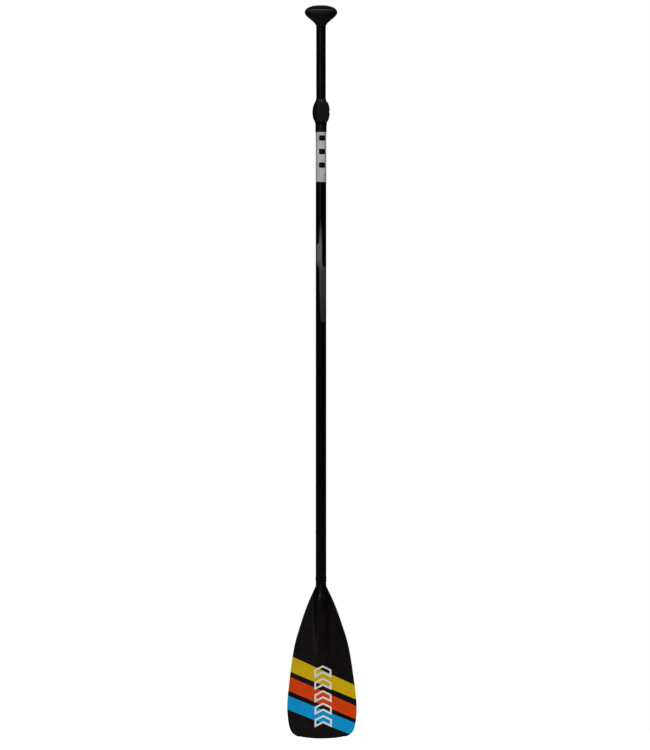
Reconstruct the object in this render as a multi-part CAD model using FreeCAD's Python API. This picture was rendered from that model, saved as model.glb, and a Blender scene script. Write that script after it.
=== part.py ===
import FreeCAD, Part
import math
import os

# An adjustable stand-up paddle with one blade, in millimetres.
# It stands upright: +Z runs up the shaft, the printed front of the blade faces -Y, and +X is to
# the right of someone who looks at that front. Heights in this file are measured up from the
# blade's tip, and level() turns one into Z, whose zero is where a rack or a deck clip holds it.

Vector = FreeCAD.Vector
UP = Vector(0, 0, 1)

# Heights along the paddle
hold_height = 1000.0
grip_top = 2050.0
grip_rim_height = 2030.0
grip_parting = 2037.0
grip_shoulder = 1990.0
tube_top = 1986.0
tube_bottom = 1480.0
clamp_top = 1786.0
clamp_middle = 1750.0
shaft_top = 1738.0
clamp_bottom = 1694.0
band_length = 140.0
blade_top = 421.0
neck_ring_height = 435.0

# Travel of the upper tube in the shaft, from where it is drawn
travel_in = 190.0
travel_out = 130.0

# Tubes
shaft_radius = 14.8
shaft_wall = 1.1
tube_radius = 13.5
tube_wall = 1.5
slide_gap = 0.05
bond_gap = 0.05

# Palm grip
grip_rim_half_width = 45.6
grip_rim_half_depth = 20.0
grip_wall = 2.8
grip_dome_power = 2.2
grip_rim_squareness = 2.5
spigot_length = 50.0

# Key that stops the tube from turning
key_width = 3.8
key_length = 35.0
key_bottom = 1745.0
groove_width = 4.0
groove_depth = 0.7

# Clamp
collar_radius = 16.9
collar_flare_top = 1720.0
collar_cone_bottom = 1769.0
collar_top = 1781.0
collar_top_radius = 15.6
skirt_radius = 15.9
skirt_top = 1715.0
liner_top_radius = 14.2
slit_bottom = 1722.0
lug_inner_x = 8.0
lug_outer_x = 23.0
lug_front_y = -7.5
lug_rear_y = 8.5
lug_height = 28.0
slit_width = 2.5
screw_x = 18.2
screw_radius = 2.0
screw_head_radius = 3.9
screw_head_height = 3.2
washer_thickness = 0.9
washer_radius = 4.6
saddle_thickness = 1.0
saddle_inner_x = 14.2
saddle_outer_x = 22.4
saddle_height = 24.0
pin_y = -14.9
pin_radius = 3.5
pin_length = 34.0
cam_radius = 5.9
cam_offset = 0.45
lever_inner_radius = 17.6
lever_half_height = 28.0
lever_end_half_width = 17.5
lever_middle_half_width = 24.2

# Blade, measured along its own face from the neck
blade_length = 427.5
blade_cant = 10.0
blade_corner = 64.0
blade_bottom_radius = 320.0
skin = 0.9
rim_width = 3.0
edge_half = 1.7
crown = 2.2
crown_half_width = 96.0
spine_rise = 10.0
spine_flat = 7.0
spine_half_width = 25.0
front_spine_length = 235.0
back_spine_length = 200.0
neck_radius = 15.0
neck_length = 115.0
tongue_length = 120.0


def level(height):
    """Z of a height above the blade's tip."""
    return height - hold_height


def smooth(t):
    """Eased step from 0 to 1."""
    t = min(max(t, 0.0), 1.0)
    return t * t * (3 - 2 * t)


def rod(radius, low, high, x=0.0, y=0.0):
    """Upright round bar between two heights."""
    return Part.makeCylinder(radius, high - low, Vector(x, y, level(low)), UP)


def pipe(outer, inner, low, high):
    """Upright tube between two heights."""
    return rod(outer, low, high).cut(rod(inner, low - 1, high + 1))


def block(x0, x1, y0, y1, low, high):
    """Upright box between two heights."""
    return Part.makeBox(x1 - x0, y1 - y0, high - low, Vector(x0, y0, level(low)))


def turned(points):
    """Solid of revolution about the shaft's axis from (radius, height) corners."""
    corners = [Vector(radius, 0, level(height)) for radius, height in points]
    outline = Part.makePolygon(corners + corners[:1])
    return Part.Face(outline).revolve(Vector(0, 0, 0), UP, 360)


def save(node, shape):
    """Write one node, and stop if it isn't a sound solid."""
    for solid in shape.Solids:
        if not solid.isValid() or solid.Volume <= 0:
            raise ValueError(node + " isn't a valid solid")
    if not shape.Solids:
        raise ValueError(node + " has no solid")
    shape.exportStep("parts/" + node + ".step")
    print(node, len(shape.Solids), round(shape.Volume, 1))


# Palm grip: a round neck that flares into a wide oval rim under a low dome


def grip_size(height, inset=0.0):
    """Half width, half depth and squareness of the grip's outline at a height."""
    if height <= grip_rim_height:
        flare = smooth((height - grip_shoulder) / (grip_rim_height - grip_shoulder))
        half_width = tube_radius + (grip_rim_half_width - tube_radius) * flare
        half_depth = tube_radius + (grip_rim_half_depth - tube_radius) * flare
        squareness = 2.0 + (grip_rim_squareness - 2.0) * flare
    else:
        rise = (height - grip_rim_height) / (grip_top + 0.4 - grip_rim_height)
        dome = (1 - rise**grip_dome_power) ** (1 / grip_dome_power)
        half_width = grip_rim_half_width * dome
        half_depth = grip_rim_half_depth * dome
        squareness = grip_rim_squareness
    return half_width - inset, half_depth - inset, squareness


def oval(height, inset=0.0):
    """Closed outline of the grip at a height."""
    half_width, half_depth, squareness = grip_size(height, inset)
    points = []
    count = 24
    for i in range(count):
        angle = 2 * math.pi * i / count
        c, s = math.cos(angle), math.sin(angle)
        x = math.copysign(abs(c) ** (2 / squareness), c) * half_width
        y = math.copysign(abs(s) ** (2 / squareness), s) * half_depth
        points.append(Vector(x, y, level(height)))
    curve = Part.BSplineCurve()
    curve.interpolate(Points=points, PeriodicFlag=True)
    return Part.Wire(curve.toShape())


def grip_loft(heights, inset=0.0):
    """Smooth solid through the grip's outlines at these heights."""
    return Part.makeLoft([oval(height, inset) for height in heights], True)


def make_grip():
    """Palm grip shell with its spigot, and the cushion pad that closes it."""
    flare_heights = [grip_shoulder, 1998, 2006, 2014, 2022, grip_rim_height, grip_parting]
    dome_heights = [grip_parting, 2041, 2045, 2048, grip_top]
    lip_height = 3.0
    bore_radius = tube_radius - tube_wall
    cavity = grip_loft([2001, 2010, 2019, grip_rim_height, grip_parting], grip_wall)
    body = grip_loft(flare_heights).cut(cavity)
    spigot = rod(bore_radius - bond_gap, tube_top - spigot_length, grip_shoulder)
    body = body.fuse(spigot)
    body = body.cut(rod(bore_radius - 3, tube_top - spigot_length - 1, 1996)).removeSplitter()
    lip = grip_loft([grip_parting - lip_height, grip_parting], grip_wall + bond_gap)
    pad = grip_loft(dome_heights).fuse(lip)
    save("grip_body", body)
    save("grip_pad", pad.removeSplitter())
    save("grip_ring", pipe(tube_radius + 0.4, bore_radius, tube_top, grip_shoulder))


def make_extension():
    """Upper tube with its key groove, foam plug, end ferrule and seal."""
    bore_radius = tube_radius - tube_wall
    groove_low = key_bottom - travel_out - 1
    groove_high = key_bottom + key_length + travel_in + 1
    groove = block(
        -groove_width / 2,
        groove_width / 2,
        tube_radius - groove_depth - slide_gap,
        tube_radius + 1,
        groove_low,
        groove_high,
    )
    tube = pipe(tube_radius, bore_radius, tube_bottom, tube_top)
    save("extension_tube", tube.cut(groove))
    save("extension_foam", rod(bore_radius - bond_gap, tube_bottom + 60, tube_bottom + 130))

    head_length = 12.0
    seal_section = 1.2
    head_radius = shaft_radius - shaft_wall - slide_gap
    seal_height = tube_bottom - head_length / 2
    seal_radius = head_radius - seal_section
    head = rod(head_radius, tube_bottom - head_length, tube_bottom)
    plug = rod(bore_radius - bond_gap, tube_bottom, tube_bottom + 25)
    groove_inner = seal_radius - seal_section - slide_gap
    seal_room = seal_section + slide_gap
    seal_groove = pipe(
        head_radius + 1, groove_inner, seal_height - seal_room, seal_height + seal_room
    )
    ferrule = head.fuse(plug).cut(rod(8, tube_bottom - head_length - 1, tube_bottom + 26))
    ferrule = ferrule.cut(seal_groove).removeSplitter()
    save("tube_end_ferrule", ferrule)
    seal = Part.makeTorus(seal_radius, seal_section, Vector(0, 0, level(seal_height)), UP)
    save("ferrule_seal", seal)


# Clamp: a split collar that a cam lever draws shut round the upper tube


def make_collar():
    """Split collar with two lugs on its right side."""
    bore_radius = shaft_radius + bond_gap
    outline = [
        (bore_radius, clamp_bottom),
        (skirt_radius, clamp_bottom),
        (skirt_radius, skirt_top),
        (collar_radius, collar_flare_top),
        (collar_radius, collar_cone_bottom),
        (collar_top_radius, collar_top),
        (bore_radius, collar_top),
    ]
    collar = turned(outline)
    low = clamp_middle - lug_height / 2
    high = clamp_middle + lug_height / 2
    lugs = block(lug_inner_x, lug_outer_x, lug_front_y, lug_rear_y, low, high)
    corners = [edge for edge in lugs.Edges if edge.BoundBox.XMin > lug_outer_x - 0.1]
    corners = [edge for edge in corners if edge.BoundBox.YLength > 1]
    lugs = lugs.makeFillet(5, corners)
    collar = collar.fuse(lugs).cut(rod(bore_radius, clamp_bottom - 1, clamp_top))
    slit = block(0, 30, -slit_width / 2, slit_width / 2, slit_bottom, clamp_top)
    relief_radius = 2.2
    relief = Part.makeCylinder(
        relief_radius, 30, Vector(0, 0, level(slit_bottom)), Vector(1, 0, 0)
    )
    screw_hole = Part.makeCylinder(
        screw_radius + 0.2, 40, Vector(screw_x, -20, level(clamp_middle)), Vector(0, 1, 0)
    )
    washer_seat = Part.makeCylinder(
        washer_radius + bond_gap,
        10,
        Vector(screw_x, lug_rear_y, level(clamp_middle)),
        Vector(0, 1, 0),
    )
    saddle_seat = block(
        saddle_inner_x - bond_gap,
        lug_outer_x,
        -collar_radius,
        lug_front_y,
        clamp_middle - saddle_height / 2 - bond_gap,
        clamp_middle + saddle_height / 2 + bond_gap,
    )
    for space in (slit, relief, screw_hole, washer_seat, saddle_seat):
        collar = collar.cut(space)
    save("clamp_collar", collar.removeSplitter())


def make_liner():
    """Split bush between collar and tube, with the key on its back."""
    bore_radius = tube_radius + slide_gap
    liner_bottom = shaft_top + 0.2
    flange_bottom = collar_top + 0.1
    outline = [
        (bore_radius, liner_bottom),
        (shaft_radius, liner_bottom),
        (shaft_radius, flange_bottom),
        (collar_top_radius, flange_bottom),
        (liner_top_radius, clamp_top),
        (bore_radius, clamp_top),
    ]
    key_root = 0.6
    key = block(
        -key_width / 2,
        key_width / 2,
        tube_radius - groove_depth,
        bore_radius + key_root,
        key_bottom,
        key_bottom + key_length,
    )
    slit_half = 0.8
    slit = block(0, 30, -slit_half, slit_half, shaft_top, clamp_top + 1)
    save("collar_liner", turned(outline).fuse(key).cut(slit).removeSplitter())


def lever_outline():
    """Plan of the lever: a cam round the pin, and an arm that wraps the collar's front."""
    wrap_start = math.radians(200)
    wrap_end = math.radians(320)
    r = lever_inner_radius
    wrap_from = Vector(r * math.cos(wrap_start), r * math.sin(wrap_start), 0)
    wrap_to = Vector(r * math.cos(wrap_end), r * math.sin(wrap_end), 0)
    cam_centre = Vector(screw_x, pin_y + cam_offset, 0)
    cam_front = cam_centre + Vector(0, -cam_radius, 0)
    front_left = Vector(-7, -21.4, 0)
    tab_start = Vector(-23.6, -6, 0)
    tab_end = Vector(-24, 3, 0)
    tab_inner = Vector(-21.6, 3, 0)
    edges = [
        Part.LineSegment(cam_front, front_left),
        Part.Arc(front_left, Vector(-17.9, -16.6, 0), tab_start),
        Part.LineSegment(tab_start, tab_end),
        Part.Arc(tab_end, Vector(-22.8, 4.2, 0), tab_inner),
        Part.LineSegment(tab_inner, wrap_from),
        Part.Arc(wrap_from, Vector(0, -r, 0), wrap_to),
        Part.LineSegment(wrap_to, cam_centre),
        Part.LineSegment(cam_centre, cam_front),
    ]
    return Part.Face(Part.Wire([edge.toShape() for edge in edges]))


def lever_side():
    """Front outline of the lever: a barrel, widest at the screw's height."""

    def point(x, rise):
        return Vector(x, -40, level(clamp_middle + rise))

    upper_right = point(lever_end_half_width, lever_half_height)
    upper_left = point(-lever_end_half_width, lever_half_height)
    lower_left = point(-lever_end_half_width, -lever_half_height)
    lower_right = point(lever_end_half_width, -lever_half_height)
    edges = [
        Part.LineSegment(upper_right, upper_left),
        Part.Arc(upper_left, point(-lever_middle_half_width, 0), lower_left),
        Part.LineSegment(lower_left, lower_right),
        Part.Arc(lower_right, point(lever_middle_half_width, 0), upper_right),
    ]
    outline = Part.Wire([edge.toShape() for edge in edges])
    return Part.Face(outline).extrude(Vector(0, 60, 0))


def make_lever():
    """Cam lever with its pin hole and the slot that clears the screw as it turns."""
    low = clamp_middle - lever_half_height - 5
    high = clamp_middle + lever_half_height + 5
    arm = lever_outline().extrude(UP * (high - low))
    arm.translate(Vector(0, 0, level(low)))
    cam = rod(cam_radius, low, high, screw_x, pin_y + cam_offset)
    lever = arm.fuse(cam).common(lever_side())
    lever = lever.cut(rod(pin_radius + slide_gap, low - 1, high + 1, screw_x, pin_y))
    slot_half = screw_radius + 0.7
    slot_reach = 9
    slot_start = -75
    slot_sweep = 205
    slot = Part.makeCylinder(
        slot_reach, 2 * slot_half, Vector(0, 0, -slot_half), UP, slot_sweep
    )
    slot.rotate(Vector(0, 0, 0), UP, slot_start)
    slot.translate(Vector(screw_x, pin_y, level(clamp_middle)))
    save("clamp_lever", lever.cut(slot).removeSplitter())


def make_clamp_hardware():
    """Barrel pin, tension screw, washer and cam saddle."""
    along = Vector(0, 1, 0)
    tip_y = pin_y - 2.5
    head_y = lug_rear_y + washer_thickness
    z = level(clamp_middle)
    shank = Part.makeCylinder(screw_radius, head_y - tip_y, Vector(screw_x, tip_y, z), along)
    pin = rod(
        pin_radius,
        clamp_middle - pin_length / 2,
        clamp_middle + pin_length / 2,
        screw_x,
        pin_y,
    )
    save("barrel_pin", pin.cut(shank))
    head = Part.makeCylinder(
        screw_head_radius, screw_head_height, Vector(screw_x, head_y, z), along
    )
    head = head.makeFillet(0.8, [head.Edges[0]])
    socket_radius = 1.7
    corners = []
    for i in range(7):
        angle = math.radians(60 * i)
        x = screw_x + socket_radius * math.cos(angle)
        corners.append(Vector(x, head_y + 1.2, z + socket_radius * math.sin(angle)))
    socket = Part.Face(Part.makePolygon(corners)).extrude(Vector(0, 5, 0))
    save("clamp_screw", shank.fuse(head).cut(socket).removeSplitter())

    washer = Part.makeCylinder(
        washer_radius, washer_thickness, Vector(screw_x, lug_rear_y, z), along
    )
    hole = Part.makeCylinder(screw_radius + 0.15, 60, Vector(screw_x, -30, z), along)
    save("screw_washer", washer.cut(hole))
    saddle = block(
        saddle_inner_x,
        saddle_outer_x,
        lug_front_y - saddle_thickness,
        lug_front_y,
        clamp_middle - saddle_height / 2,
        clamp_middle + saddle_height / 2,
    )
    save("cam_saddle", saddle.cut(hole))


def make_shaft():
    """Main tube, its printed sleeve, foam plugs and the ring above the blade."""
    bore_radius = shaft_radius - shaft_wall
    plug_radius = bore_radius - bond_gap
    bulkhead_top = tube_bottom - travel_in - 22
    save("main_shaft", pipe(shaft_radius, bore_radius, blade_top, shaft_top))
    save(
        "shaft_band",
        pipe(shaft_radius + 0.15, shaft_radius, clamp_bottom - band_length, clamp_bottom),
    )
    save("shaft_bulkhead", rod(plug_radius, bulkhead_top - 80, bulkhead_top))
    save("lower_foam", rod(plug_radius, blade_top + 110, blade_top + 190))
    ring = turned(
        [
            (shaft_radius, neck_ring_height),
            (shaft_radius + 0.5, neck_ring_height),
            (shaft_radius + 0.5, neck_ring_height + 12),
            (shaft_radius, neck_ring_height + 12),
        ]
    )
    save("neck_ring", ring)


# Blade, drawn upright below its neck at the origin, then canted forward and put in place.
# Its front is at -Y and a distance s down the blade is at Z = -s.


def blade_point(x, s):
    return Vector(x, 0, -s)


def blade_outline(inset=0.0):
    """Face of the blade's outline: sides that swell from the neck, round corners, a bowed foot."""
    foot_rise = blade_corner**2 / (2 * blade_bottom_radius)
    side = [(15.0, 0), (40.5, 57), (58.3, 108), (73.3, 158), (83.0, 210), (91.8, 278)]
    side = side + [(96.8, 336), (94.2, 380), (82.5, 411)]
    side = [(x - inset, s - inset * smooth((s - 380) / 50)) for x, s in side]
    side.append((blade_corner, blade_length - foot_rise - inset))
    edges = []
    for sign in (1, -1):
        curve = Part.BSplineCurve()
        curve.interpolate(
            Points=[blade_point(sign * x, s) for x, s in side],
            InitialTangent=blade_point(sign * 0.47, 1),
            FinalTangent=blade_point(-sign, blade_corner / blade_bottom_radius),
        )
        edges.append(curve.toShape())
    foot = Part.Arc(
        blade_point(side[-1][0], side[-1][1]),
        blade_point(0, blade_length - inset),
        blade_point(-side[-1][0], side[-1][1]),
    )
    edges.append(foot.toShape())
    half_neck = side[0][0]
    neck = [(half_neck, 0), (half_neck, -20), (-half_neck, -20), (-half_neck, 0)]
    top = Part.makePolygon([blade_point(x, s) for x, s in neck])
    return Part.Face(Part.Wire(Part.__sortEdges__(edges + top.Edges)))


def face_height(x, s, spine_length):
    """Distance of a blade face from its middle plane."""
    wing = edge_half + crown * (1 - smooth(abs(x) / crown_half_width))
    across = 1 - smooth((abs(x) - spine_flat) / (spine_half_width - spine_flat))
    along = (1 - smooth(s / spine_length)) * (0.45 + 0.55 * smooth(s / 40))
    return wing + spine_rise * across * along


def beyond_face(side, spine_length, inset):
    """Solid of everything on the inner side of a blade face. side is -1 for the front."""
    reach = 60.0
    columns = [-110 + 5.0 * i for i in range(45)]
    rows = [-25 + 11.5 * i for i in range(41)]
    grid = []
    for x in columns:
        line = []
        for s in rows:
            y = side * (face_height(x, s, spine_length) - inset)
            line.append(Vector(x, y, -s))
        grid.append(line)
    surface = Part.BSplineSurface()
    surface.interpolate(grid)
    return surface.toShape().extrude(Vector(0, -side * reach, 0))


def blade_body(outline, inset):
    """The blade's two faces closed round its outline, each moved in by inset."""
    prism = outline.extrude(Vector(0, 80, 0))
    prism.translate(Vector(0, -40, 0))
    body = prism.common(beyond_face(-1, front_spine_length, inset))
    return body.common(beyond_face(1, back_spine_length, inset))


def neck_bullet():
    """Round nose that carries the shaft's line into the blade's spine."""
    profile = [(neck_radius, 0), (0.84 * neck_radius, 0.4 * neck_length)]
    profile = profile + [(0.4 * neck_radius, 0.8 * neck_length), (0, neck_length)]
    side = Part.BSplineCurve()
    side.interpolate([Vector(radius, 0, -s) for radius, s in profile])
    nose = Vector(0, 0, -neck_length)
    top = 20.0
    start = Vector(neck_radius, 0, 0)
    lines = Part.makePolygon([nose, Vector(0, 0, top), Vector(neck_radius, 0, top), start])
    face = Part.Face(Part.Wire([side.toShape()] + lines.Edges))
    return face.revolve(Vector(0, 0, 0), UP, 360)


def ellipse(half_width, half_depth, s):
    curve = Part.Ellipse(Vector(0, 0, -s), half_width, half_depth)
    return Part.Wire(curve.toShape())


def placed(shape):
    """Cant a blade piece forward about the neck and set it at the shaft's foot."""
    moved = shape.copy()
    moved.rotate(Vector(0, 0, 0), Vector(1, 0, 0), -blade_cant)
    moved.translate(Vector(0, 0, level(blade_top)))
    return moved


def make_blade():
    """Insert, foam core, two skins and the rim."""
    outline = blade_outline()
    whole = blade_body(outline, 0).fuse(neck_bullet())
    inner = blade_outline(rim_width).extrude(Vector(0, 80, 0))
    inner.translate(Vector(0, -40, 0))
    below_shaft = Part.makeBox(400, 400, 600, Vector(-200, -200, level(blade_top) - 600))

    plug_radius = shaft_radius - shaft_wall - bond_gap
    plug = rod(plug_radius, blade_top, blade_top + 60)
    plug = plug.cut(rod(plug_radius - 3, blade_top + 12, blade_top + 61))
    tongue = Part.makeLoft([ellipse(12, 10, -8), ellipse(7, 3, tongue_length)], True)
    tongue = placed(tongue).common(below_shaft)
    insert = plug.fuse(tongue).removeSplitter()

    core = placed(blade_body(outline, skin).common(inner)).common(below_shaft)
    shell = placed(whole.common(inner)).common(below_shaft).cut(core).cut(tongue)
    skins = sorted(shell.Solids, key=lambda solid: solid.CenterOfMass.y)
    rim = placed(whole.cut(inner)).common(below_shaft)
    save("blade_insert", insert)
    save("blade_core", core.cut(tongue))
    save("blade_front_skin", skins[0])
    save("blade_back_skin", skins[-1])
    save("blade_rim", rim)


os.makedirs("parts", exist_ok=True)
make_grip()
make_extension()
make_collar()
make_liner()
make_lever()
make_clamp_hardware()
make_shaft()
make_blade()
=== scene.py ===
import math

import bmesh
import bpy
import numpy as np
from mathutils import Matrix, Vector


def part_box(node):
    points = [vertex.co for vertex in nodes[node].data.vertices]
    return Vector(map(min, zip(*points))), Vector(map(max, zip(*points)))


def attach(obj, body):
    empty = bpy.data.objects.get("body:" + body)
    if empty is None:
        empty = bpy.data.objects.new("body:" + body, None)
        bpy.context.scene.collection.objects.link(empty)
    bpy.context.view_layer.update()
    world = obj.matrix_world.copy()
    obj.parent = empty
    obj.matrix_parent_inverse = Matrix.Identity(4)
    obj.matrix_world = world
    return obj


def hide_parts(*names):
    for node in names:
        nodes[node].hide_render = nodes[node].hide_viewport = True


# An adjustable stand-up paddle in metres: +Z runs up the shaft, the printed front faces -Y.
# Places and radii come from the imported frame. The grip and the blade repeat the formulas of
# the solid model, with softer edges and finer steps.

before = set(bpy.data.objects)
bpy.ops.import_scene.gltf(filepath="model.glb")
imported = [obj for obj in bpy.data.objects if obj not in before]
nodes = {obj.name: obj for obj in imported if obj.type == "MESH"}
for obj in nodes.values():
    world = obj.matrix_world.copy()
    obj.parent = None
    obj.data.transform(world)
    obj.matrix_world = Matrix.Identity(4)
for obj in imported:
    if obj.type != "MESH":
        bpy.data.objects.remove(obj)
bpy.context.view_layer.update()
MM = 0.001


def low(node):
    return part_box(node)[0]


def high(node):
    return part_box(node)[1]


# Places read from the frame
tube_radius = high("extension_tube").x
tube_top = high("extension_tube").z
tube_bottom = low("extension_tube").z
shaft_radius = high("main_shaft").x
shaft_top = high("main_shaft").z
blade_top = low("main_shaft").z
tip = low("blade_rim").z
grip_shoulder = high("grip_ring").z
grip_parting = high("grip_body").z
grip_top = high("grip_pad").z
grip_half_width = high("grip_body").x
grip_half_depth = high("grip_body").y
clamp_top = high("collar_liner").z

# Points round every turned shape
round_segments = 128

# Palm grip
rim_below_parting = 7 * MM
grip_wall = 2.8 * MM
grip_dome_power = 2.2
grip_rim_squareness = 2.5
grip_spigot_radius = tube_radius - 1.55 * MM
parting_groove = 0.7 * MM
parting_shoulder = 0.25 * MM

# Upper tube, with the key groove on its back
tube_wall = 1.5 * MM
tube_edge = 0.3 * MM
groove_half_width = 2.08 * MM
groove_depth = 0.7 * MM
groove_bottom = 614 * MM
groove_top = 971 * MM

# Length scale on the upper tube, in centimetres of whole length
scale_first = 196
scale_last = 218
scale_pitch = 2
scale_turn = -0.19 * tube_radius
number_size = 6.4 * MM
tick_half_width = 2.2 * MM
tick_thickness = 0.9 * MM

# Rounding of the clamp's mouldings: mesh step and smoothing passes
collar_rounding = (0.6 * MM, 4)
lever_rounding = (0.45 * MM, 8)

# Main tube, and the windows and bars on its printed sleeve
shaft_wall = 1.1 * MM
window_pitch = 38 * MM
window_half_width = 9.5 * MM
window_half_height = 7.5 * MM
window_corner = 3 * MM
window_offset = 3 * MM
first_window_drop = 17 * MM
bar_pitch = 4 * MM
bar_thickness = 1.6 * MM
bar_offset = 9 * MM

# Blade, measured along its own face from the neck. blade_side is its edge as half width and
# distance down the face, and neck_profile is the nose's radius at distances down the face,
# both in millimetres.
blade_cant = math.radians(10)
blade_side = [(15, 0), (40.5, 57), (58.3, 108), (73.3, 158), (83, 210), (91.8, 278)]
blade_side = blade_side + [(96.8, 336), (94.2, 380), (82.5, 411), (64, 421.1)]
blade_foot_bow = 6.4 * MM
blade_bow_start = 330 * MM
edge_half = 1.7 * MM
crown = 2.2 * MM
crown_half_width = 96 * MM
rolled_edge = 1.6 * MM
spine_rise = 10 * MM
spine_flat = 7 * MM
spine_half_width = 25 * MM
front_spine_length = 235 * MM
back_spine_length = 200 * MM
neck_radius = 15 * MM
neck_profile = [(0, 15), (46, 12.6), (92, 6), (115, 0)]
neck_blend = 5 * MM
neck_blend_start = 20 * MM

# Printed bands on the blade: height above the tip on the centre line and fall to the right
stripe_edges = {
    "yellow": ((190, 0.455), (149, 0.42)),
    "orange": ((133, 0.44), (94.5, 0.42)),
    "blue": ((82, 0.405), (44.5, 0.395)),
}

# Column of hollow chevrons over the bands
chevron_count = 5
chevron_first = 50 * MM
chevron_pitch = 34 * MM
chevron_half_width = 24 * MM
chevron_rise = 12 * MM
chevron_arm = 22 * MM
chevron_line = 5 * MM
chevron_offset = 3 * MM

# Silver flash on the shaft: height above the tip, and its left and right edge in degrees
# round the shaft from the front. Its tone fades down the shaft.
flash_edges = [(1446, -12, -8), (1421, -18, 5), (1385, -25, 8), (1376, -60, 8)]
flash_edges = flash_edges + [(1335, -60, 8), (1320, -40, 15), (1309, -22, 70)]
flash_edges = flash_edges + [(1250, -18, 80), (1163, -5, 80)]
flash_tones = [(1163, 0.03), (1200, 0.04), (1250, 0.07), (1310, 0.09)]
flash_tones = flash_tones + [(1340, 0.25), (1376, 0.25), (1421, 0.08), (1446, 0.03)]

# Ink stands proud of its surface and reaches a little into it
ink_lift = 0.02 * MM
ink_sink = 0.05 * MM

# Floor
floor_radius = 1.2
floor_drop = 60 * MM
floor_thickness = 0.5 * MM


def smooth(t):
    """Eased step from 0 to 1."""
    t = min(max(t, 0.0), 1.0)
    return t * t * (3 - 2 * t)


def mix(a, b, t):
    return a + (b - a) * t


# Materials


def node(tree, kind, **values):
    """A shader node whose inputs and settings are given by name. A socket is linked."""
    made = tree.nodes.new("ShaderNode" + kind)
    for key, value in values.items():
        name = key.replace("_", " ")
        if name not in made.inputs:
            setattr(made, key, value)
        elif isinstance(value, bpy.types.NodeSocket):
            tree.links.new(value, made.inputs[name])
        else:
            made.inputs[name].default_value = value
    return made


def maths(tree, operation, *values):
    made = tree.nodes.new("ShaderNodeMath")
    made.operation = operation
    for socket, value in zip(made.inputs, values):
        if isinstance(value, bpy.types.NodeSocket):
            tree.links.new(value, socket)
        else:
            socket.default_value = value
    return made.outputs[0]


def noise(tree, place, scale, detail, roughness, stretch=(1, 1, 1)):
    """Noise between 0 and 1, with features of about 1/scale metres."""
    mapped = node(tree, "Mapping", Vector=place, Scale=stretch)
    texture = node(
        tree,
        "TexNoise",
        Vector=mapped.outputs[0],
        Scale=scale,
        Detail=detail,
        Roughness=roughness,
    )
    return texture.outputs["Fac"]


def spread(tree, value, start, end):
    """A 0 to 1 value, read from 0.3 to 0.7, spread between start and end."""
    made = node(tree, "MapRange", Value=value)
    made.inputs["From Min"].default_value = 0.3
    made.inputs["From Max"].default_value = 0.7
    made.inputs["To Min"].default_value = start
    made.inputs["To Max"].default_value = end
    return made.outputs[0]


def blend_colours(tree, factor, first, second):
    ramp = node(tree, "ValToRGB", Fac=factor)
    ramp.color_ramp.elements[0].position = 0.3
    ramp.color_ramp.elements[0].color = (*first, 1)
    ramp.color_ramp.elements[1].position = 0.7
    ramp.color_ramp.elements[1].color = (*second, 1)
    return ramp.outputs["Color"]


def new_material(name):
    """An empty procedural material: its node tree, shader and place in the frame."""
    material = bpy.data.materials.new(name)
    material.use_nodes = True
    tree = material.node_tree
    shader = tree.nodes["Principled BSDF"]
    place = node(tree, "TexCoord").outputs["Object"]
    return material, tree, shader, place


def set_bump(tree, shader, height, distance, strength):
    bump = node(tree, "Bump", Height=height, Distance=distance, Strength=strength)
    tree.links.new(bump.outputs[0], shader.inputs["Normal"])


def winding(tree, place, radius, pitch):
    """Crossed helical wraps of a wound tube, between -1 and 1."""
    axes = node(tree, "SeparateXYZ", Vector=place).outputs
    around = maths(tree, "MULTIPLY", maths(tree, "ARCTAN2", axes[1], axes[0]), radius)
    turns = 2 * math.pi / pitch
    left = maths(tree, "SINE", maths(tree, "MULTIPLY", maths(tree, "ADD", around, axes[2]), turns))
    right = maths(
        tree, "SINE", maths(tree, "MULTIPLY", maths(tree, "SUBTRACT", around, axes[2]), turns)
    )
    return maths(tree, "MULTIPLY", left, right)


def laminate(name, radius, dark, light, roughness):
    """Wound laminate under a clear coat, with fine long scratches."""
    material, tree, shader, place = new_material(name)
    pitch = 2 * math.pi * radius / 14
    wraps = winding(tree, place, radius, pitch)
    fibres = noise(tree, place, 900, 4, 0.6, (1, 1, 0.04))
    smudges = noise(tree, place, 38, 5, 0.6)
    scratches = noise(tree, place, 1500, 2, 0.5, (1, 1, 0.01))
    shade = maths(tree, "ADD", fibres, maths(tree, "MULTIPLY", wraps, 0.12))
    tree.links.new(blend_colours(tree, shade, dark, light), shader.inputs["Base Color"])
    tree.links.new(spread(tree, smudges, roughness, roughness + 0.16), shader.inputs["Roughness"])
    shader.inputs["Specular IOR Level"].default_value = 0.15
    shader.inputs["Coat Weight"].default_value = 0.5
    tree.links.new(spread(tree, scratches, 0.05, 0.13), shader.inputs["Coat Roughness"])
    set_bump(tree, shader, wraps, 0.015 * MM, 0.5)
    return material


def moulded(name, dark, light, roughness, grain=0.35 * MM, depth=0.03 * MM):
    """Moulded plastic with a spark-eroded grain and paler, rubbed edges."""
    material, tree, shader, place = new_material(name)
    grains = noise(tree, place, 1 / grain, 3, 0.55)
    clouds = noise(tree, place, 60, 4, 0.6)
    body = blend_colours(tree, clouds, dark, light)
    edge = node(tree, "NewGeometry").outputs["Pointiness"]
    rubbed = node(tree, "MapRange", Value=edge)
    rubbed.inputs["From Min"].default_value = 0.52
    rubbed.inputs["From Max"].default_value = 0.62
    rubbed.inputs["To Max"].default_value = 0.35
    scuffed = maths(tree, "MULTIPLY", rubbed.outputs[0], spread(tree, clouds, 0.3, 1.0))
    worn = node(tree, "MixRGB", Fac=scuffed, Color1=body, Color2=(0.05, 0.05, 0.052, 1))
    tree.links.new(worn.outputs[0], shader.inputs["Base Color"])
    tree.links.new(spread(tree, grains, roughness, roughness + 0.18), shader.inputs["Roughness"])
    shader.inputs["Specular IOR Level"].default_value = 0.24
    set_bump(tree, shader, grains, depth, 0.6)
    return material


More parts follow.
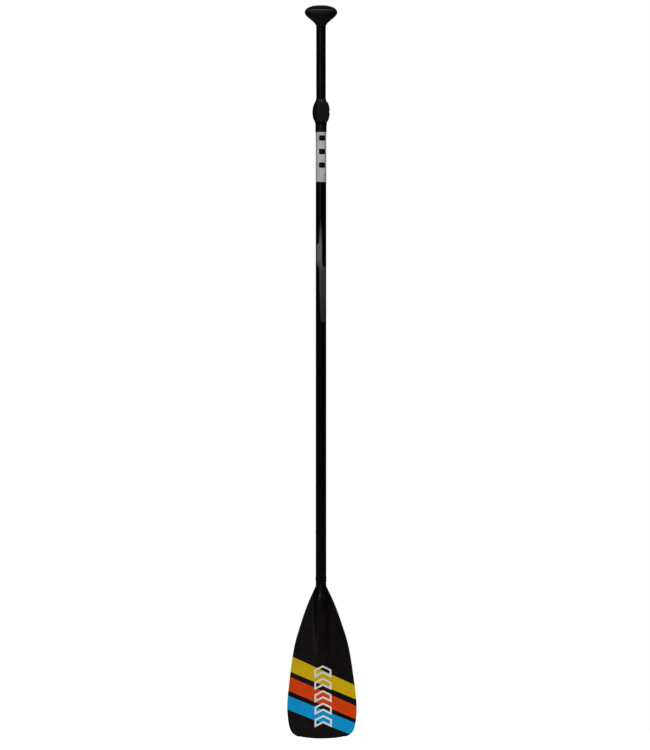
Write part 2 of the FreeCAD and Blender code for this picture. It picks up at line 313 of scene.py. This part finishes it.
def rubber(name, dark, light, pit=0.9 * MM, depth=0.05 * MM):
    """Soft-touch rubber with fine pits, worn dull in patches."""
    material, tree, shader, place = new_material(name)
    pits = node(tree, "TexVoronoi", Vector=place, Scale=1 / pit).outputs["Distance"]
    dust = noise(tree, place, 90, 5, 0.65)
    tree.links.new(blend_colours(tree, dust, dark, light), shader.inputs["Base Color"])
    tree.links.new(spread(tree, dust, 0.6, 0.8), shader.inputs["Roughness"])
    shader.inputs["Specular IOR Level"].default_value = 0.02
    set_bump(tree, shader, pits, depth, 0.5)
    return material


def painted(name, dark, light, roughness=0.3, coat=0.3):
    """Ink or paint under a clear coat with a slight orange peel and hair scratches."""
    material, tree, shader, place = new_material(name)
    mottle = noise(tree, place, 55, 5, 0.6)
    peel = noise(tree, place, 420, 2, 0.5)
    hairs = noise(tree, place, 1400, 2, 0.5, (1, 1, 0.03))
    tree.links.new(blend_colours(tree, mottle, dark, light), shader.inputs["Base Color"])
    tree.links.new(spread(tree, mottle, roughness, roughness + 0.12), shader.inputs["Roughness"])
    shader.inputs["Specular IOR Level"].default_value = 0.15
    shader.inputs["Coat Weight"].default_value = coat
    tree.links.new(spread(tree, hairs, 0.06, 0.16), shader.inputs["Coat Roughness"])
    set_bump(tree, shader, peel, 0.02 * MM, 0.35)
    return material


def grey(tone):
    return (tone, tone, tone)


def warm_grey(tone):
    return (tone, 0.84 * tone, 0.87 * tone, 1)


def faded_ink(name, tones):
    """Ink with fine flakes whose tone changes with height. tones are (height, tone) pairs."""
    material, tree, shader, place = new_material(name)
    bottom, top = tip + tones[0][0] * MM, tip + tones[-1][0] * MM
    z = node(tree, "SeparateXYZ", Vector=place).outputs[2]
    share = maths(tree, "DIVIDE", maths(tree, "SUBTRACT", z, bottom), top - bottom)
    ramp = node(tree, "ValToRGB", Fac=share)
    stops = ramp.color_ramp.elements
    stops[0].color = warm_grey(tones[0][1])
    stops[1].color = warm_grey(tones[-1][1])
    for height, tone in tones[1:-1]:
        stop = stops.new((tip + height * MM - bottom) / (top - bottom))
        stop.color = warm_grey(tone)
    flakes = noise(tree, place, 1800, 2, 0.6)
    gaps = spread(tree, flakes, 0.0, 0.3)
    speckled = node(tree, "MixRGB", Fac=gaps, Color1=ramp.outputs[0], Color2=(0.01, 0.01, 0.01, 1))
    tree.links.new(speckled.outputs[0], shader.inputs["Base Color"])
    tree.links.new(spread(tree, flakes, 0.35, 0.5), shader.inputs["Roughness"])
    shader.inputs["Coat Weight"].default_value = 0.5
    return material


def metal(name, tone, roughness, stretch):
    """Stainless steel brushed along one direction."""
    material, tree, shader, place = new_material(name)
    brush = noise(tree, place, 2500, 3, 0.6, stretch)
    stains = noise(tree, place, 300, 4, 0.6)
    dark = (tone * 0.75, tone * 0.75, tone * 0.76)
    light = (tone, tone, tone * 0.99)
    tree.links.new(blend_colours(tree, stains, dark, light), shader.inputs["Base Color"])
    tree.links.new(spread(tree, brush, roughness, roughness + 0.2), shader.inputs["Roughness"])
    shader.inputs["Metallic"].default_value = 1.0
    set_bump(tree, shader, brush, 0.01 * MM, 0.4)
    return material


def cellular(name, dark, light, cell=1.2 * MM):
    """Closed-cell foam."""
    material, tree, shader, place = new_material(name)
    cells = node(tree, "TexVoronoi", Vector=place, Scale=1 / cell).outputs["Distance"]
    tree.links.new(blend_colours(tree, cells, dark, light), shader.inputs["Base Color"])
    shader.inputs["Roughness"].default_value = 0.9
    set_bump(tree, shader, cells, 0.3 * MM, 0.8)
    return material


looks = {
    "shaft": laminate("shaft_laminate", shaft_radius, grey(0.0008), grey(0.0018), 0.2),
    "tube": laminate("tube_laminate", tube_radius, grey(0.002), grey(0.0036), 0.22),
    "blade": painted("blade_laminate", (0.0022, 0.001, 0.0011), (0.0034, 0.0018, 0.002), 0.3),
    "yellow": painted("yellow_ink", (0.46, 0.315, 0.0004), (0.52, 0.35, 0.0008)),
    "orange": painted("orange_ink", (0.49, 0.037, 0.001), (0.54, 0.042, 0.002)),
    "blue": painted("blue_ink", (0.0006, 0.22, 0.47), (0.001, 0.24, 0.51)),
    "outline": painted("outline_ink", grey(0.55), grey(0.62), 0.4, 0.5),
    "film": painted("white_film", grey(0.8), grey(0.86), 0.4, 0.3),
    "window": painted("window_ink", grey(0.004), grey(0.006), 0.35, 0.5),
    "scale": painted("scale_ink", grey(0.014), grey(0.018), 0.45, 0.3),
    "flash": faded_ink("silver_flash", flash_tones),
    "moulded": moulded("moulded_nylon", grey(0.003), grey(0.005), 0.4),
    "soft": rubber("soft_touch_rubber", grey(0.001), grey(0.002)),
    "seal": rubber("seal_rubber", grey(0.0022), grey(0.0036), 0.5 * MM, 0.02 * MM),
    "bush": moulded("acetal_bush", grey(0.006), grey(0.01), 0.4, 0.5 * MM, 0.01 * MM),
    "steel": metal("brushed_steel", 0.55, 0.22, (1, 1, 0.05)),
    "turned_steel": metal("turned_steel", 0.5, 0.25, (0.05, 1, 0.05)),
    "foam": cellular("foam_plug", grey(0.22), grey(0.34)),
    "core": cellular("blade_core_foam", (0.42, 0.38, 0.28), (0.6, 0.55, 0.42), 1.6 * MM),
}


# Mesh helpers


def add_piece(name, mesh, body, materials, replaced=()):
    """A named piece on a body and the nodes that it stands for."""
    piece = bpy.data.objects.new(name, mesh)
    mesh.name = name
    bpy.context.scene.collection.objects.link(piece)
    for key in materials:
        mesh.materials.append(looks[key])
    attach(piece, body)
    if replaced:
        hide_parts(*replaced)
    return piece


def shaded(mesh, angle=32):
    """Smooth shading, with creases kept sharp."""
    mesh.polygons.foreach_set("use_smooth", [True] * len(mesh.polygons))
    mesh.set_sharp_from_angle(angle=math.radians(angle))
    return mesh


def from_bmesh(bm):
    bmesh.ops.recalc_face_normals(bm, faces=bm.faces[:])
    mesh = bpy.data.meshes.new("mesh")
    bm.to_mesh(mesh)
    bm.free()
    return mesh


def loft(loops, ring=False):
    """Closed surface through loops of equal length. ring joins the last to the first."""
    bm = bmesh.new()
    rows = [[bm.verts.new(point) for point in loop] for loop in loops]
    pairs = list(zip(rows, rows[1:]))
    if ring:
        pairs.append((rows[-1], rows[0]))
    else:
        bm.faces.new(reversed(rows[0]))
        bm.faces.new(rows[-1])
    count = len(rows[0])
    for first, second in pairs:
        for j in range(count):
            k = (j + 1) % count
            bm.faces.new((first[j], first[k], second[k], second[j]))
    return shaded(from_bmesh(bm))


def rounded(corners, radius):
    """Closed outline with each corner turned into a short curve."""
    curve_steps = 4
    points = []
    count = len(corners)
    for i in range(count):
        corner = Vector(corners[i])
        before = Vector(corners[i - 1]) - corner
        after = Vector(corners[(i + 1) % count]) - corner
        reach = min(radius, 0.45 * before.length, 0.45 * after.length)
        start = corner + before.normalized() * reach
        end = corner + after.normalized() * reach
        for j in range(curve_steps + 1):
            t = j / curve_steps
            points.append(start * (1 - t) ** 2 + corner * 2 * t * (1 - t) + end * t * t)
    return points


def round_loop(radius, z):
    angles = [2 * math.pi * j / round_segments for j in range(round_segments)]
    return [(radius * math.cos(a), radius * math.sin(a), z) for a in angles]


def pipe(outer, inner, bottom, top, edge=0.3 * MM):
    """Tube with softened ends."""
    corners = [(outer, bottom), (outer, top), (inner, top), (inner, bottom)]
    return loft([round_loop(radius, z) for radius, z in rounded(corners, edge)], ring=True)


def softened(node_name, voxel, passes):
    """A CAD node's shape with its edges rounded off."""
    source = bpy.data.objects.new("source", nodes[node_name].data.copy())
    bpy.context.scene.collection.objects.link(source)
    weld = source.modifiers.new("weld", "WELD")
    weld.merge_threshold = 0.001 * MM
    remesh = source.modifiers.new("remesh", "REMESH")
    remesh.mode = "VOXEL"
    remesh.voxel_size = voxel
    relax = source.modifiers.new("relax", "SMOOTH")
    relax.factor = 0.5
    relax.iterations = passes
    evaluated = source.evaluated_get(bpy.context.evaluated_depsgraph_get())
    mesh = bpy.data.meshes.new_from_object(evaluated)
    bpy.data.objects.remove(source)
    mesh.materials.clear()
    return shaded(mesh, 60)


def sliced(bm, direction, step):
    """Cut a flat mesh into strips of one width, so that it can bend."""
    normal = Vector(direction)
    reach = [normal.dot(vert.co) for vert in bm.verts]
    for i in range(1, math.ceil((max(reach) - min(reach)) / step)):
        geometry = bm.verts[:] + bm.edges[:] + bm.faces[:]
        cut = normal * (min(reach) + i * step)
        bmesh.ops.bisect_plane(bm, geom=geometry, plane_co=cut, plane_no=normal)


def printed(outlines, place, step, lift, sink):
    """Thin ink on a surface. outlines are flat faces as lists of (u, v) points,
    place(u, v, lift) gives the point of the surface at u and v, and step is how far apart
    the ink is cut along u and v, or 0 where the surface is straight."""
    bm = bmesh.new()
    for outline in outlines:
        bm.faces.new([bm.verts.new((u, v, 0)) for u, v in outline])
    bmesh.ops.remove_doubles(bm, verts=bm.verts[:], dist=0.001 * MM)
    for direction, width in zip(((1, 0, 0), (0, 1, 0)), step):
        if width:
            sliced(bm, direction, width)
    flat = bm.faces[:]
    made = bmesh.ops.extrude_face_region(bm, geom=flat)["geom"]
    upper = {item for item in made if isinstance(item, bmesh.types.BMVert)}
    for vert in bm.verts:
        vert.co = place(vert.co.x, vert.co.y, lift if vert in upper else -sink)
    return shaded(from_bmesh(bm), 50)


# Palm grip


def grip_size(z):
    """Half width, half depth and squareness of the grip's outline at a height."""
    rim = grip_parting - rim_below_parting
    if z <= rim:
        flare = smooth((z - grip_shoulder) / (rim - grip_shoulder))
        half_width = mix(tube_radius, grip_half_width, flare)
        half_depth = mix(tube_radius, grip_half_depth, flare)
        return half_width, half_depth, mix(2.0, grip_rim_squareness, flare)
    rise = (z - rim) / (grip_top + 0.1 * MM - rim)
    dome = (1 - rise**grip_dome_power) ** (1 / grip_dome_power)
    return grip_half_width * dome, grip_half_depth * dome, grip_rim_squareness


def oval(z, inset=0.0):
    """Loop of the grip's outline at a height, drawn in by the inset."""
    half_width, half_depth, squareness = grip_size(z)
    loop = []
    for j in range(round_segments):
        angle = 2 * math.pi * j / round_segments
        c, s = math.cos(angle), math.sin(angle)
        x = math.copysign(abs(c) ** (2 / squareness), c) * (half_width - inset)
        y = math.copysign(abs(s) ** (2 / squareness), s) * (half_depth - inset)
        loop.append((x, y, z))
    return loop


def steps(start, end, count):
    return [mix(start, end, i / count) for i in range(count + 1)]


def make_grip():
    """Flared shell, soft dome that caps it, and the ring under its neck."""
    chamfer = 0.4 * MM
    hollow_floor = grip_shoulder + 13 * MM
    shell = [round_loop(grip_spigot_radius, low("grip_body").z)]
    shell.append(round_loop(grip_spigot_radius, grip_shoulder))
    shell.append(round_loop(tube_radius - chamfer, grip_shoulder))
    outside = steps(grip_shoulder + chamfer, grip_parting - parting_groove, 44)
    shell = shell + [oval(z) for z in outside]
    shell.append(oval(grip_parting - parting_groove / 3, parting_shoulder))
    shell.append(oval(grip_parting, parting_groove))
    shell = shell + [oval(z, grip_wall) for z in steps(grip_parting, hollow_floor, 12)]
    add_piece("grip_shell", loft(shell), "handle", ["moulded"], ["grip_body"])

    lip_depth = 3 * MM
    lip_inset = grip_wall + 0.1 * MM
    dome = [oval(grip_parting - lip_depth, lip_inset), oval(grip_parting, lip_inset)]
    dome.append(oval(grip_parting + 0.02 * MM, parting_groove))
    dome.append(oval(grip_parting + parting_groove / 3, parting_shoulder))
    rise = grip_top - grip_parting - parting_groove
    dome_steps = 40
    for i in range(dome_steps):
        t = math.sin(math.pi / 2 * i / dome_steps)
        dome.append(oval(grip_parting + parting_groove + rise * t))
    add_piece("grip_cushion", loft(dome), "handle", ["soft"], ["grip_pad"])

    ring = pipe(high("grip_ring").x, grip_spigot_radius, tube_top, grip_shoulder, 1.2 * MM)
    add_piece("grip_neck_ring", ring, "handle", ["seal"], ["grip_ring"])


# Upper tube


def on_tube(radius):
    """Place on a round tube: u runs round it from the front to the right, v is the height."""

    def place(u, v, lift):
        angle = u / radius
        return Vector(((radius + lift) * math.sin(angle), -(radius + lift) * math.cos(angle), v))

    return place


def make_tube():
    """Tube with the key groove down its back."""
    groove_floor = tube_radius - groove_depth
    groove_half_angle = groove_half_width / tube_radius
    angles = [2 * math.pi * j / round_segments for j in range(round_segments)]
    back = math.pi / 2
    angles = [a for a in angles if abs(a - back) > groove_half_angle + 0.01]
    corner = 0.004  # turn over which the groove's wall drops, in radians
    for side in (-1, 1):
        edge = back + side * groove_half_angle
        angles = angles + [edge, edge - side * corner]
    angles = sorted(angles + [back])

    def loop(z, radius, grooved):
        points = []
        for a in angles:
            inside = abs(a - back) < groove_half_angle - corner / 2
            r = groove_floor if grooved and inside else radius
            points.append((r * math.cos(a), r * math.sin(a), z))
        return points

    end_wall = 0.05 * MM
    heights = [
        (tube_bottom + tube_edge, False),
        (groove_bottom, False),
        (groove_bottom + end_wall, True),
        (groove_top - end_wall, True),
        (groove_top, False),
        (tube_top - tube_edge, False),
    ]
    loops = [loop(tube_bottom, tube_radius - tube_edge, False)]
    loops = loops + [loop(z, tube_radius, grooved) for z, grooved in heights]
    loops.append(loop(tube_top, tube_radius - tube_edge, False))
    loops.append(loop(tube_top, tube_radius - tube_wall, False))
    loops.append(loop(tube_bottom, tube_radius - tube_wall, False))
    tube = loft(loops, ring=True)
    add_piece("upper_tube", tube, "handle", ["tube"], ["extension_tube"])


def text_faces(text, size):
    """Flat faces of a line of text, centred, that reads along +v."""
    curve = bpy.data.curves.new("text", "FONT")
    curve.body = text
    curve.size = size
    curve.align_x = "CENTER"
    curve.align_y = "CENTER"
    curve.resolution_u = 3
    holder = bpy.data.objects.new("text", curve)
    bpy.context.scene.collection.objects.link(holder)
    evaluated = holder.evaluated_get(bpy.context.evaluated_depsgraph_get())
    mesh = bpy.data.meshes.new_from_object(evaluated)
    faces = []
    for polygon in mesh.polygons:
        corners = [mesh.vertices[i].co for i in polygon.vertices]
        faces.append([(-corner.y, corner.x) for corner in corners])
    bpy.data.objects.remove(holder)
    bpy.data.meshes.remove(mesh)
    return faces


def moved(faces, du, dv):
    return [[(u + du, v + dv) for u, v in face] for face in faces]


def make_scale():
    """Numbers and ticks on the upper tube: each is the paddle's length in centimetres when
    it lies at the clamp's top edge."""
    number_rise = 1.5 * MM
    tick_drop = 7.8 * MM
    half, thickness = tick_half_width, tick_thickness
    tick = [(-half, 0), (half, 0), (half, thickness), (-half, thickness)]
    length_now = grip_top - tip
    faces = []
    for centimetres in range(scale_first, scale_last + 1, scale_pitch):
        z = clamp_top + length_now - centimetres * 10 * MM
        number = text_faces(str(centimetres), number_size)
        faces = faces + moved(number, scale_turn, z + number_rise)
        faces = faces + moved([tick], scale_turn, z - tick_drop)
    mesh = printed(faces, on_tube(tube_radius), (0.9 * MM, 0), ink_lift, ink_sink)
    add_piece("length_scale", mesh, "handle", ["scale"])


# Clamp


def make_clamp():
    """Collar and cam lever with rounded edges, and the turned lever pin."""
    collar = softened("clamp_collar", *collar_rounding)
    add_piece("collar", collar, "shaft", ["moulded"], ["clamp_collar"])
    lever = softened("clamp_lever", *lever_rounding)
    add_piece("cam_lever", lever, "lever", ["moulded"], ["clamp_lever"])

    pin_low, pin_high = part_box("barrel_pin")
    centre = (pin_low + pin_high) / 2
    pin_radius = (pin_high.x - pin_low.x) / 2
    chamfer = 0.6 * MM
    dimple_bottom, dimple_radius, dimple_depth = 0.2 * MM, 1.2 * MM, 0.5 * MM
    profile = [
        (dimple_bottom, pin_low.z + dimple_depth),
        (dimple_radius, pin_low.z),
        (pin_radius - chamfer, pin_low.z),
        (pin_radius, pin_low.z + chamfer),
        (pin_radius, pin_high.z - chamfer),
        (pin_radius - chamfer, pin_high.z),
        (dimple_radius, pin_high.z),
        (dimple_bottom, pin_high.z - dimple_depth),
    ]
    loops = []
    for radius, z in profile:
        loop = [(centre.x + p[0], centre.y + p[1], z) for p in round_loop(radius, z)]
        loops.append(loop)
    add_piece("lever_pin", loft(loops), "shaft", ["steel"], ["barrel_pin"])


# Shaft


def round_shaft(degrees):
    """Distance round the shaft of an angle measured from its front."""
    return math.radians(degrees) * shaft_radius


def make_shaft():
    """Main tube, printed sleeve, tapered flash and the ring above the blade."""
    shaft = pipe(shaft_radius, shaft_radius - shaft_wall, blade_top, shaft_top)
    add_piece("lower_tube", shaft, "shaft", ["shaft"], ["main_shaft"])

    band_radius = high("shaft_band").x
    band_low, band_high = low("shaft_band").z, high("shaft_band").z
    band = pipe(band_radius, shaft_radius, band_low, band_high, 0.1 * MM)
    add_piece("printed_sleeve", band, "shaft", ["film"], ["shaft_band"])

    ink_step = 1.2 * MM
    corners = [(-window_half_width, -window_half_height), (window_half_width, -window_half_height)]
    corners = corners + [(-x, -y) for x, y in corners]
    window = [(p.x, p.y) for p in rounded([(*c, 0) for c in corners], window_corner)]
    faces = []
    for i in range(3):
        middle = band_high - first_window_drop - i * window_pitch
        faces = faces + moved([window], window_offset, middle)
    for i in range(4):
        width = 4 * MM + 3 * MM * (i % 2)
        bar = [(0, 0), (width, 0), (width, bar_thickness), (0, bar_thickness)]
        faces = faces + moved([bar], bar_offset, band_low + 5 * MM + bar_pitch * i)
    mesh = printed(faces, on_tube(band_radius), (ink_step, 0), 0.03 * MM, ink_sink)
    add_piece("sleeve_windows", mesh, "shaft", ["window"])

    rows = []
    for height, left, right in flash_edges:
        z = tip + height * MM
        rows.append([(round_shaft(left), z), (round_shaft(right), z)])
    faces = [upper + lower[::-1] for upper, lower in zip(rows, rows[1:])]
    mesh = printed(faces, on_tube(shaft_radius), (ink_step, 0), ink_lift, ink_sink)
    add_piece("shaft_flash", mesh, "shaft", ["flash"])

    ring_low, ring_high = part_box("neck_ring")
    ring = pipe(ring_high.x, shaft_radius, ring_low.z, ring_high.z, 0.4 * MM)
    add_piece("blade_neck_ring", ring, "shaft", ["seal"], ["neck_ring"])


# Blade: x across, s down its face from the neck, front at -y


def spline(points, start_slope, end_slope, count):
    """Smooth curve through points, with its direction given at both ends."""
    knots = np.array(points, float)
    chord = np.linalg.norm(np.diff(knots, axis=0), axis=1)
    size = len(knots)
    matrix = np.zeros((size, size))
    right = np.zeros((size, 2))
    matrix[0, 0] = matrix[-1, -1] = 1
    right[0] = np.array(start_slope) / np.linalg.norm(start_slope)
    right[-1] = np.array(end_slope) / np.linalg.norm(end_slope)
    for i in range(1, size - 1):
        before, after = chord[i - 1], chord[i]
        matrix[i, i - 1 : i + 2] = after, 2 * (before + after), before
        rise_before = (knots[i] - knots[i - 1]) / before
        rise_after = (knots[i + 1] - knots[i]) / after
        right[i] = 3 * (after * rise_before + before * rise_after)
    slopes = np.linalg.solve(matrix, right)
    starts = np.concatenate([[0], np.cumsum(chord)])
    curve = []
    for distance in np.linspace(0, starts[-1], count):
        i = min(int(np.searchsorted(starts, distance, side="right")) - 1, size - 2)
        t = (distance - starts[i]) / chord[i]
        curve.append(
            (2 * t**3 - 3 * t**2 + 1) * knots[i]
            + (t**3 - 2 * t**2 + t) * chord[i] * slopes[i]
            + (3 * t**2 - 2 * t**3) * knots[i + 1]
            + (t**3 - t**2) * chord[i] * slopes[i + 1]
        )
    return [(float(p[0]) * MM, float(p[1]) * MM) for p in curve]


def neck_half(s):
    """Radius of the round nose that carries the shaft into the spine."""
    stops = [stop * MM for stop, radius in neck_profile]
    radii = [radius * MM for stop, radius in neck_profile]
    return float(np.interp(s, stops, radii))


def face_height(x, s, spine_length):
    """Distance of a blade face from its middle plane: a crowned plate with a spine, blended
    into the round nose of the neck."""
    wing = edge_half + crown * (1 - smooth(abs(x) / crown_half_width))
    across = 1 - smooth((abs(x) - spine_flat) / (spine_half_width - spine_flat))
    along = (1 - smooth(s / spine_length)) * (0.45 + 0.55 * smooth(s / (40 * MM)))
    plate = wing + spine_rise * across * along
    nose = math.sqrt(max(neck_half(s) ** 2 - x * x, 0))
    gap = abs(plate - nose)
    extra = max(neck_blend - gap, 0) ** 2 / (4 * neck_blend)
    return max(plate, nose) + extra * smooth(s / neck_blend_start)


def front_y(x, s):
    return -face_height(x, s, front_spine_length)


def back_y(x, s):
    return face_height(x, s, back_spine_length)


cant = Matrix.Translation((0, 0, blade_top)) @ Matrix.Rotation(-blade_cant, 4, "X")


def on_blade_front(u, v, lift):
    """Place on the blade's front: u is across, v is the height above the tip."""
    z = tip + v
    s = (blade_top - z) / math.cos(blade_cant)
    for _ in range(3):
        s = (blade_top - z - front_y(u, s) * math.sin(blade_cant)) / math.cos(blade_cant)
    return cant @ Vector((u, front_y(u, s) - lift, -s))


def blade_rows():
    """Right-hand edge point, outward direction and bow of each row across the blade. The first
    row lies inside the neck ring, where the blade is cut off level."""
    side = spline(blade_side, (0.47, 1), (-1, 0.2), 150)
    rows = [(Vector((neck_radius, -10 * MM)), Vector((1, 0)), 0.0)]
    bow_end = side[-1][1]
    for i, point in enumerate(side):
        before = Vector(side[max(i - 1, 0)])
        after = Vector(side[min(i + 1, len(side) - 1)])
        along = (after - before).normalized()
        out = Vector((along.y, -along.x))
        bow = blade_foot_bow * smooth((point[1] - blade_bow_start) / (bow_end - blade_bow_start))
        rows.append((Vector(point), out, bow))
    return rows


def make_blade():
    """One shell for both faces and the rounded edge, painted in bands."""
    across = 40
    edge_steps = 6
    crowding = 0.3 * math.pi  # draws the rows' points together towards the edges
    bm = bmesh.new()
    loops = []
    for point, out, bow in blade_rows():
        inset = point - out * rolled_edge
        front, back = [], []
        for j in range(2 * across + 1):
            u = j / across - 1
            x = inset.x * math.sin(u * crowding) / math.sin(crowding)
            s = inset.y + bow * (1 - u * u)
            front.append((x, front_y(x, s), -s))
            back.append((x, back_y(x, s), -s))
        right_edge, left_edge = [], []
        tall_front, tall_back = front_y(inset.x, inset.y), back_y(inset.x, inset.y)
        for j in range(1, 2 * edge_steps):
            angle = math.pi / 2 - math.pi / 2 * j / edge_steps
            bulge = inset + out * rolled_edge * math.cos(angle)
            tall = tall_front * math.sin(angle) if angle > 0 else tall_back * -math.sin(angle)
            right_edge.append((bulge.x, tall, -bulge.y))
            left_edge.append((-bulge.x, tall, -bulge.y))
        loops.append(front + right_edge + back[::-1] + left_edge[::-1])
    rows = [[bm.verts.new(point) for point in loop] for loop in loops]
    count = len(rows[0])
    for first, second in zip(rows, rows[1:]):
        for j in range(count):
            k = (j + 1) % count
            bm.faces.new((first[j], first[k], second[k], second[j]))
    bm.faces.new(rows[0])
    bm.faces.new(rows[-1])
    bm.transform(cant)
    everything = bm.verts[:] + bm.edges[:] + bm.faces[:]
    cut = bmesh.ops.bisect_plane(
        bm,
        geom=everything,
        plane_co=(0, 0, blade_top),
        plane_no=(0, 0, 1),
        clear_outer=True,
    )
    rim = [item for item in cut["geom_cut"] if isinstance(item, bmesh.types.BMEdge)]
    bmesh.ops.edgeloop_fill(bm, edges=rim)
    colours = list(stripe_edges)
    for upper, lower in stripe_edges.values():
        for height, fall in (upper, lower):
            bmesh.ops.bisect_plane(
                bm,
                geom=bm.verts[:] + bm.edges[:] + bm.faces[:],
                plane_co=(0, 0, tip + height * MM),
                plane_no=(fall, 0, 1),
            )
    upright = cant.inverted()
    for face in bm.faces:
        centre = face.calc_center_median()
        if (upright @ centre).y > 0:
            continue
        for index, colour in enumerate(colours):
            upper, lower = stripe_edges[colour]
            rise = centre.z - tip
            below_top = rise < upper[0] * MM - upper[1] * centre.x
            above_bottom = rise > lower[0] * MM - lower[1] * centre.x
            if below_top and above_bottom:
                face.material_index = index + 1
    mesh = shaded(from_bmesh(bm), 40)
    replaced = ["blade_front_skin", "blade_back_skin", "blade_rim"]
    add_piece("blade_shell", mesh, "shaft", ["blade"] + colours, replaced)


def chevron_outline(middle):
    """Hollow chevron that points up, drawn with one line width, as flat faces."""

    def ring(inset):
        slope = chevron_rise / chevron_half_width
        half_arm = chevron_arm / 2 - inset * math.sqrt(1 + slope * slope)
        side = chevron_half_width - inset
        top = [(u, half_arm - slope * abs(u)) for u in (-side, 0, side)]
        bottom = [(u, -half_arm - slope * abs(u)) for u in (side, 0, -side)]
        return [(u, v + chevron_rise / 2 + middle) for u, v in top + bottom]

    outer, inner = ring(0), ring(chevron_line)
    count = len(outer)
    faces = []
    for i in range(count):
        j = (i + 1) % count
        faces.append([outer[i], outer[j], inner[j], inner[i]])
    return faces


def make_motif():
    """A column of hollow chevrons over the printed bands."""
    faces = []
    for i in range(chevron_count):
        middle = chevron_first + chevron_pitch * i
        faces = faces + chevron_outline(middle)
    faces = moved(faces, chevron_offset, 0)
    mesh = printed(faces, on_blade_front, (4 * MM, 6 * MM), 0.06 * MM, 0.1 * MM)
    add_piece("chevron_print", mesh, "shaft", ["outline"])


def dress_cad_nodes():
    """Materials of the nodes whose CAD shape is already right."""
    finishes = {
        "extension_foam": "foam",
        "shaft_bulkhead": "foam",
        "lower_foam": "foam",
        "blade_core": "core",
        "blade_insert": "moulded",
        "tube_end_ferrule": "bush",
        "collar_liner": "bush",
        "ferrule_seal": "seal",
        "clamp_screw": "turned_steel",
        "screw_washer": "turned_steel",
        "cam_saddle": "steel",
    }
    for name, finish in finishes.items():
        piece = nodes[name]
        piece.data.materials.clear()
        piece.data.materials.append(looks[finish])


# Studio


def soft_box(name, azimuth, elevation, distance, width, height, power, target_z=0.0):
    """Area light that looks at the paddle. Azimuth 0 is in front, 90 on the right."""
    light = bpy.data.lights.new(name, "AREA")
    light.shape = "RECTANGLE"
    light.size = width
    light.size_y = height
    light.energy = power
    lamp = bpy.data.objects.new(name, light)
    bpy.context.scene.collection.objects.link(lamp)
    turn, tilt = math.radians(azimuth), math.radians(elevation)
    away = Vector((math.sin(turn) * math.cos(tilt), -math.cos(turn) * math.cos(tilt), math.sin(tilt)))
    lamp.location = away * distance + Vector((0, 0, target_z))
    lamp.rotation_euler = away.to_track_quat("Z", "Y").to_euler()
    return lamp


def make_studio():
    """Pale floor, white surroundings seen by the camera, a high sun and soft boxes."""
    scene = bpy.context.scene
    scene.view_settings.view_transform = "Standard"
    floor_top = tip - floor_drop
    floor_low = round_loop(floor_radius, floor_top - floor_thickness)
    floor_mesh = loft([floor_low, round_loop(floor_radius, floor_top)])
    floor = bpy.data.objects.new("floor", floor_mesh)
    scene.collection.objects.link(floor)
    material, tree, shader, place = new_material("pale_floor")
    cloud = noise(tree, place, 0.8, 3, 0.5)
    tree.links.new(blend_colours(tree, cloud, grey(0.9), grey(0.93)), shader.inputs["Base Color"])
    shader.inputs["Roughness"].default_value = 0.9
    floor_mesh.materials.append(material)

    world = bpy.data.worlds.new("studio")
    scene.world = world
    world.use_nodes = True
    tree = world.node_tree
    background = tree.nodes["Background"]
    path = node(tree, "LightPath")
    shade = node(tree, "MixRGB", Fac=path.outputs["Is Camera Ray"])
    shade.inputs["Color1"].default_value = (0.012, 0.012, 0.0125, 1)
    shade.inputs["Color2"].default_value = (1, 1, 1, 1)
    tree.links.new(shade.outputs[0], background.inputs["Color"])

    sun = bpy.data.lights.new("sun", "SUN")
    sun.energy = 4.2
    sun.angle = math.radians(25)
    lamp = bpy.data.objects.new("sun", sun)
    scene.collection.objects.link(lamp)

    soft_box("front_top", 0, 52, 6, 3.0, 1.6, 120)
    soft_box("left_wing", -18, 24, 12, 2.0, 1.6, 120, -780 * MM)


def make_camera():
    """Level view from the front, turned a little to the left, that just holds the paddle."""
    distance = 9.0
    height = 13 * MM
    turn = math.radians(-2.6)
    side_shift = 4 / 750  # share of the picture's height
    camera_data = bpy.data.cameras.new("camera")
    camera_data.lens = 154
    camera_data.sensor_width = 36
    camera_data.shift_x = side_shift
    camera = bpy.data.objects.new("camera", camera_data)
    bpy.context.scene.collection.objects.link(camera)
    camera.location = (distance * math.sin(turn), -distance * math.cos(turn), height)
    camera.rotation_euler = (math.pi / 2, 0, turn)
    bpy.context.scene.camera = camera


make_grip()
make_tube()
make_scale()
make_clamp()
make_shaft()
make_blade()
make_motif()
dress_cad_nodes()
make_studio()
make_camera()
